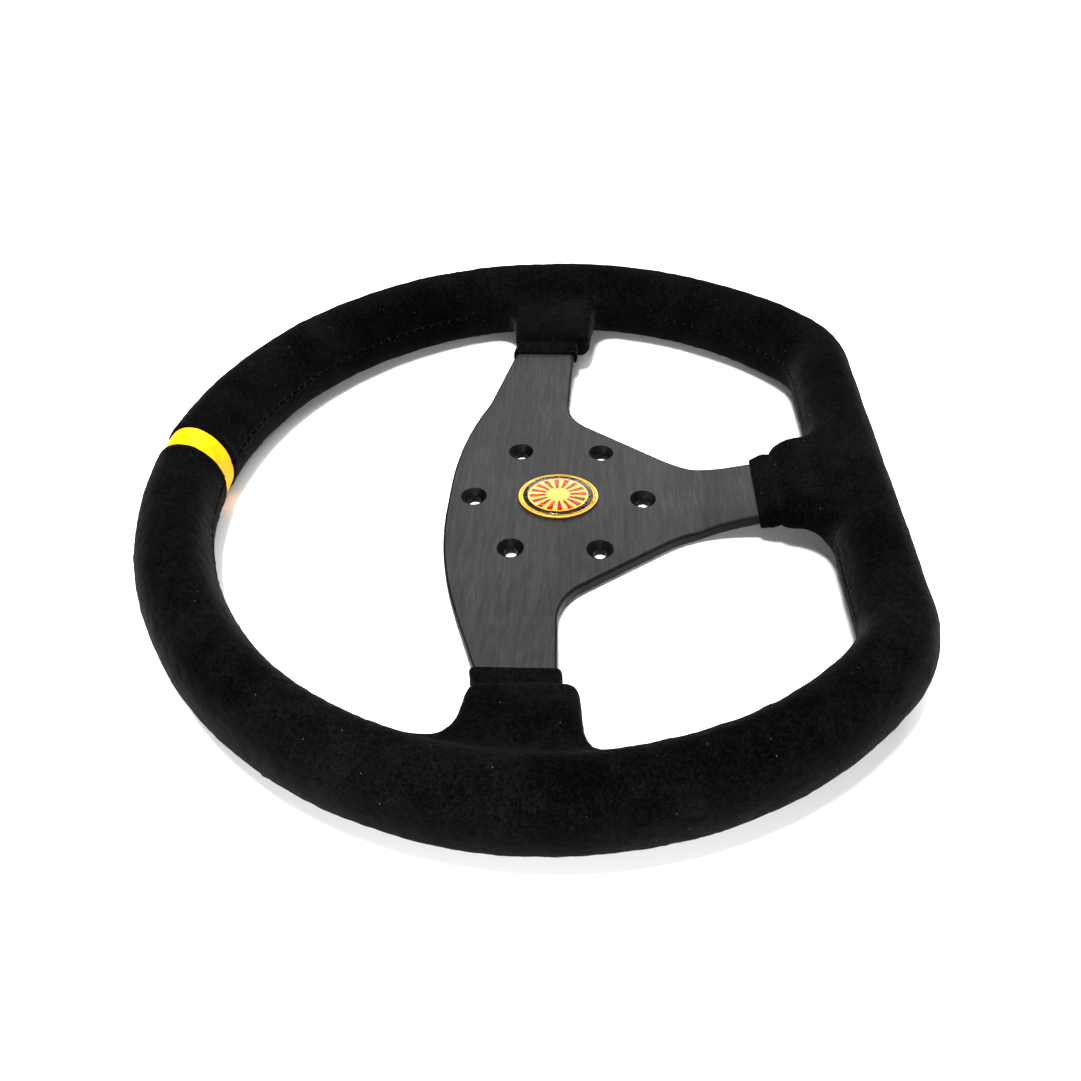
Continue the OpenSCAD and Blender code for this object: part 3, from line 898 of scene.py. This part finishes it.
def add_inlays():
    """Plain sunburst: red rays and a black border ring, with the gold left bare between."""
    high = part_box("badge_base")[1]
    oval = (high.x, high.y, high.z - INLAY_DEPTH)
    step = 2 * math.pi / RAY_COUNT
    quarter = math.pi / 2
    rays = [oval_patch(*oval, 0.3, 0.7, i * step, (i + 0.5) * step, 6) for i in range(RAY_COUNT)]
    ring = [oval_patch(*oval, 0.75, 0.875, i * quarter, (i + 1) * quarter - 0.01, 24) for i in range(4)]
    return (
        closed_parts("badge_rays", rays, strip_cap, BADGE_SHARP),
        closed_parts("badge_ring", ring, strip_cap, BADGE_SHARP),
    )


# -------------------------------- materials


class Shader:
    """A material's node tree, with short calls for the nodes that the materials use."""

    def __init__(self, name):
        self.material = bpy.data.materials.new(name)
        self.material.use_nodes = True
        self.tree = self.material.node_tree
        self.surface = self.tree.nodes["Principled BSDF"]
        self.coordinates = self.tree.nodes.new("ShaderNodeTexCoord").outputs
        self.place = self.coordinates["Object"]

    def give(self, socket, value):
        """Links a socket to another node's output, or sets it to a number or a colour."""
        if isinstance(value, bpy.types.NodeSocket):
            self.tree.links.new(value, socket)
        else:
            socket.default_value = shade(value) if socket.type == "RGBA" else value

    def node(self, kind, **inputs):
        node = self.tree.nodes.new("ShaderNode" + kind)
        for name, value in inputs.items():
            self.give(node.inputs[name.replace("_", " ")], value)
        return node

    def set(self, **inputs):
        """Gives the surface's inputs their values or their nodes."""
        for name, value in inputs.items():
            self.give(self.surface.inputs[name.replace("_", " ")], value)

    def stretched(self, scale, turn=(0, 0, 0)):
        return self.node("Mapping", Vector=self.place, Scale=scale, Rotation=turn).outputs[0]

    def noise(self, size, detail=3, rough=0.55, warp=0, vector=None):
        """Noise whose blotches are about size metres across."""
        return self.node(
            "TexNoise", Vector=vector or self.place,
            Scale=1 / size, Detail=detail, Roughness=rough, Distortion=warp,
        ).outputs["Fac"]

    def cells(self, size, vector=None):
        return self.node("TexVoronoi", Vector=vector or self.place, Scale=1 / size).outputs

    def ramp(self, value, stops):
        node = self.node("ValToRGB", Fac=value)
        elements = node.color_ramp.elements
        for element, (position, colour) in zip(elements, (stops[0], stops[-1])):
            element.position = position
            element.color = shade(colour)
        for position, colour in stops[1:-1]:
            elements.new(position).color = shade(colour)
        return node.outputs["Color"]

    def levelness_for_painted_shade(self):
        """1 on level faces, 0 on upright ones: the mask for the plate's painted shade."""
        split = self.node("SeparateXYZ", Vector=self.coordinates["Normal"])
        return self.math("ABSOLUTE", split.outputs["Z"], 0)

    def math(self, kind, a, b):
        node = self.node("Math")
        node.operation = kind
        for socket, value in zip(node.inputs, (a, b)):
            self.give(socket, value)
        return node.outputs[0]

    def total(self, *parts):
        """Sum of values that each come with a weight."""
        total, *rest = [self.math("MULTIPLY", value, weight) for value, weight in parts]
        for part in rest:
            total = self.math("ADD", total, part)
        return total

    def scaled(self, value, low, high):
        """The value, turned so that low[0] becomes low[1] and high[0] becomes high[1]."""
        return self.node(
            "MapRange", Value=value, From_Min=low[0], From_Max=high[0], To_Min=low[1], To_Max=high[1],
        ).outputs["Result"]

    def mix(self, factor, a, b, kind="MIX"):
        node = self.node("Mix")
        node.data_type = "RGBA"
        node.blend_type = kind
        for place, value in ((0, factor), (6, a), (7, b)):
            self.give(node.inputs[place], value)
        return node.outputs[2]

    def bump(self, height, distance, strength=1.0, under=None):
        node = self.node("Bump", Height=height, Distance=distance, Strength=strength)
        if under is not None:
            self.give(node.inputs["Normal"], under)
        return node.outputs["Normal"]


def shade(colour):
    """A linear colour from a grey level or from three levels."""
    if isinstance(colour, (int, float)):
        colour = (colour,) * 3
    return (*colour, 1)


def suede_material(name, dark, light):
    """Black suede: short fibres, brushed and smudged patches, and a few specks of dust."""
    m = Shader(name)
    patches = m.noise(38 * MM, 3, 0.6, 0.5)
    smears = m.noise(9 * MM, 4, 0.65, 0.5)
    tufts = m.noise(1.6 * MM, 4, 0.7)
    fibres = m.noise(0.8 * MM, 3, 0.75)
    tone = m.total((patches, 0.25), (smears, 0.18), (tufts, 0.3), (fibres, 0.27))
    colour = m.ramp(tone, [(0.42, dark), (0.5, dark * 0.7 + light * 0.3), (0.6, light)])
    nap = m.cells(0.9 * MM)["Color"]
    colour = m.mix(m.math("MULTIPLY", tufts, 0.6), colour, nap, "MULTIPLY")
    for size, radius, bright, turn in ((4.5 * MM, 0.06, 0.05, 0.4), (11 * MM, 0.035, 0.09, 1.1)):
        specks = m.cells(size, m.stretched((1, 1, 1), (turn, 0.7, 0.2)))["Distance"]
        dust = m.scaled(specks, (radius * 0.4, 1), (radius, 0))
        rare = m.scaled(m.noise(size * 2.7, 0), (0.54, 0), (0.58, 1))
        colour = m.mix(m.math("MULTIPLY", dust, rare), colour, bright)
    m.set(Base_Color=colour, Roughness=m.scaled(smears, (0.3, 0.82), (0.7, 1.0)))
    m.set(Specular_IOR_Level=0.01, Sheen_Weight=0.035, Sheen_Roughness=0.3, Sheen_Tint=0.8)
    m.set(Normal=m.bump(fibres, 0.3 * MM, 0.8, m.bump(tufts, 0.15 * MM, 0.7)))
    return m.material


def marker_material():
    """Yellow dyed leather with a fine grain and slightly rubbed patches."""
    m = Shader("marker_leather")
    grain = m.cells(0.55 * MM)["Distance"]
    blotches = m.noise(6 * MM, 3, 0.6, 0.6)
    colour = m.ramp(blotches, [
        (0.3, (0.76, 0.3, 0.0)), (0.55, (0.86, 0.355, 0.0)), (0.75, (0.9, 0.39, 0.001)),
    ])
    pores = m.scaled(grain, (0.0, 1), (0.35, 0))
    colour = m.mix(m.math("MULTIPLY", pores, 0.18), colour, (0.55, 0.34, 0.0))
    m.set(Base_Color=colour, Roughness=m.scaled(blotches, (0.3, 0.42), (0.7, 0.56)))
    m.set(Specular_IOR_Level=0.05)
    normal = m.bump(grain, 0.05 * MM, 0.6)
    m.set(Normal=m.bump(blotches, 0.1 * MM, 0.3, normal))
    return m.material


def plate_material():
    """Black anodised aluminium, brushed along X before it was dyed. Its upright faces, the plate's sides and
    its hole walls, carry painted shade.
    """
    m = Shader("anodised_plate")
    lines = m.noise(0.85 * MM, 4, 0.7, vector=m.stretched((0.09, 1, 0.09)))
    broad = m.noise(2.2 * MM, 2, 0.5, vector=m.stretched((0.06, 1, 0.06)))
    clouds = m.noise(45 * MM, 2, 0.5, 0.4)
    tone = m.total((lines, 0.55), (broad, 0.25), (clouds, 0.2))
    colour = m.ramp(tone, [(0.39, 0.0032), (0.5, 0.0087), (0.6, 0.0165)])
    # Painted shade: upright faces (the plate's sides and countersink walls) get a near-black base colour and
    # more metallic, which dims their reflection.
    level = m.levelness_for_painted_shade()
    m.set(Base_Color=m.mix(m.scaled(level, (0.92, 0.85), (0.955, 0)), colour, 0.0012))
    m.set(Metallic=m.scaled(level, (0.92, 0.65), (0.955, 0.12)))
    m.set(Anisotropic=0.5, Specular_IOR_Level=0.12, Roughness=m.scaled(tone, (0.3, 0.48), (0.7, 0.6)))
    m.set(Normal=m.bump(lines, 0.02 * MM, 0.5))
    return m.material


def thread_material():
    m = Shader("seam_thread")
    twist = m.noise(0.3 * MM, 2, 0.6)
    m.set(Base_Color=m.ramp(twist, [(0.3, 0.003), (0.7, 0.008)]))
    m.set(Roughness=0.8, Specular_IOR_Level=0.1, Normal=m.bump(twist, 0.1 * MM, 0.6))
    return m.material


def metal_material(name, dark, light, roughness):
    m = Shader(name)
    marks = m.noise(1.2 * MM, 4, 0.65)
    haze = m.noise(14 * MM, 2, 0.5)
    tone = m.total((marks, 0.5), (haze, 0.5))
    m.set(Base_Color=m.ramp(tone, [(0.35, dark), (0.65, light)]))
    m.set(Metallic=1.0, Roughness=m.scaled(marks, (0.3, roughness - 0.06), (0.7, roughness + 0.08)))
    m.set(Normal=m.bump(marks, 0.02 * MM, 0.4))
    return m.material


def foam_material(name, dark, light):
    m = Shader(name)
    pores = m.cells(0.7 * MM)["Distance"]
    blotches = m.noise(8 * MM, 2, 0.5)
    m.set(Base_Color=m.ramp(blotches, [(0.3, dark), (0.7, light)]))
    m.set(Roughness=0.95, Normal=m.bump(pores, 0.3 * MM, 0.8))
    return m.material


def resin_material():
    m = Shader("badge_resin")
    smear = m.noise(7 * MM, 2, 0.5)
    m.set(Base_Color=(1.0, 0.97, 0.9), Transmission_Weight=1.0, IOR=1.2)
    m.set(Roughness=m.scaled(smear, (0.3, 0.03), (0.7, 0.09)))
    return m.material


def enamel_material(name, dark, light):
    m = Shader(name)
    cloud = m.noise(3 * MM, 3, 0.6)
    m.set(Base_Color=m.ramp(cloud, [(0.3, dark), (0.7, light)]))
    m.set(Specular_IOR_Level=0.05, Roughness=m.scaled(cloud, (0.3, 0.4), (0.7, 0.55)))
    m.set(Normal=m.bump(m.noise(0.4 * MM, 2), 0.01 * MM, 0.5))
    return m.material


def wear(piece, material):
    piece.data.materials.clear()
    piece.data.materials.append(material)


# -------------------------------- studio


def area_light(name, place, target, size, power):
    data = bpy.data.lights.new(name, "AREA")
    data.shape = "RECTANGLE"
    data.size, data.size_y = size
    data.energy = power
    light = bpy.data.objects.new(name, data)
    light.location = place
    light.rotation_euler = (Vector(target) - Vector(place)).to_track_quat("-Z", "Y").to_euler()
    bpy.context.scene.collection.objects.link(light)


def add_studio():
    """Pale floor that the wheel lies on, white surroundings and three soft lights."""
    m = Shader("studio_floor")
    m.set(Base_Color=m.ramp(m.noise(0.3, 2), [(0.3, 0.86), (0.7, 0.9)]))
    m.set(Roughness=0.9, Specular_IOR_Level=0.2)
    reach = 3.0
    corners = [(reach * x, reach * y, RIM_LOW) for x, y in ((-1, -1), (1, -1), (1, 1), (-1, 1))]
    floor = mesh_object("floor", corners, [(0, 1, 2, 3)])
    wear(floor, m.material)
    world = bpy.data.worlds.new("studio")
    world.use_nodes = True
    background = world.node_tree.nodes["Background"].inputs
    background["Color"].default_value = (1, 1, 1, 1)
    background["Strength"].default_value = 0.28
    bpy.context.scene.world = world
    area_light("top_softbox", (-0.06, 0.15, 1.3), (0, 0, 0), size=(0.3, 0.3), power=38)
    area_light("back_softbox", (0.9, -0.2, 0.8), (0, 0, 0), size=(1.2, 0.8), power=24)
    area_light("front_strip", (-0.42, 0, 0.12), (-0.15, 0, 0), size=(0.5, 0.06), power=2.6)
    bpy.context.scene.view_settings.view_transform = "Standard"


# -------------------------------- assembly


def put(piece, material, slot, *nodes):
    wear(piece, material)
    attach(piece, "root")
    if nodes:
        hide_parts(*nodes)
    return piece


def add_rim(suede, thread):
    # How far the seams stay from the marker, from a side cuff's two ends and from the bottom cuff
    from_marker, above_cuff, below_cuff, from_bottom = 3 * MM, 9 * MM, 7 * MM, 8 * MM
    for side, word in ((1, "right"), (-1, "left")):
        upper = grip_panel(f"grip_upper_{word}", MARKER_HALF, CUFF_START, side, True)
        put(upper, suede, "suede", f"suede_upper_{word}")
        lower = grip_panel(f"grip_lower_{word}", CUFF_END, BOTTOM_START, side, False)
        put(lower, suede, "suede", f"suede_lower_{word}")
        seam = rim_seam(f"stitches_upper_{word}", MARKER_HALF + from_marker, CUFF_START - above_cuff, side)
        put(seam, thread, "seam_thread", f"seam_upper_{word}")
        seam = rim_seam(f"stitches_lower_{word}", CUFF_END + below_cuff, BOTTOM_START - from_bottom, side)
        put(seam, thread, "seam_thread", f"seam_lower_{word}")
    put(add_marker(), marker_material(), "marker_leather", "centre_marker")


def add_spoke_covers(suede, thread):
    spokes = ("right", "left", "bottom")
    for piece, word in zip(add_cuffs(), spokes):
        put(piece, suede, "suede", f"cuff_{word}")
    for piece, word in zip(add_bands(), spokes):
        put(piece, suede, "suede", f"band_{word}")
    side_seam_v = 7 * MM
    seams = ((SIDE_CUFF, side_seam_v), (SIDE_CUFF, side_seam_v), (BOTTOM_CUFF, 0))
    for word, (cuff, v) in zip(spokes, seams):
        put(cuff_seam(cuff, word, v), thread, "seam_thread", f"cuff_seam_{word}")


def build():
    suede = suede_material("suede", 0.0002, 0.0038)
    anodised = plate_material()
    thread = thread_material()
    add_rim(suede, thread)
    add_spoke_covers(suede, thread)
    put(add_plate(), anodised, "anodised_plate", "spoke_plate")
    base, dome = add_badge()
    gold = metal_material("badge_gold", (0.42, 0.22, 0.03), (0.6, 0.34, 0.06), 0.45)
    put(base, gold, "badge_metal", "badge_base")
    put(dome, resin_material(), "badge_resin", "badge_dome")
    rays, ring = add_inlays()
    put(rays, enamel_material("red_enamel", (0.26, 0.006, 0.004), (0.36, 0.012, 0.008)), "badge_resin")
    put(ring, enamel_material("black_enamel", 0.006, 0.014), "badge_resin")
    aluminium = metal_material("bare_aluminium", 0.55, 0.75, 0.35)
    wear(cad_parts["rim_core_ring"], aluminium)
    wear(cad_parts["core_rivets"], aluminium)
    put(add_foam(), foam_material("moulded_foam", 0.03, 0.05), "grip_foam", "rim_foam")
    wear(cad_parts["badge_adhesive"], foam_material("adhesive_foam", 0.6, 0.75))


add_camera()
add_studio()
build()
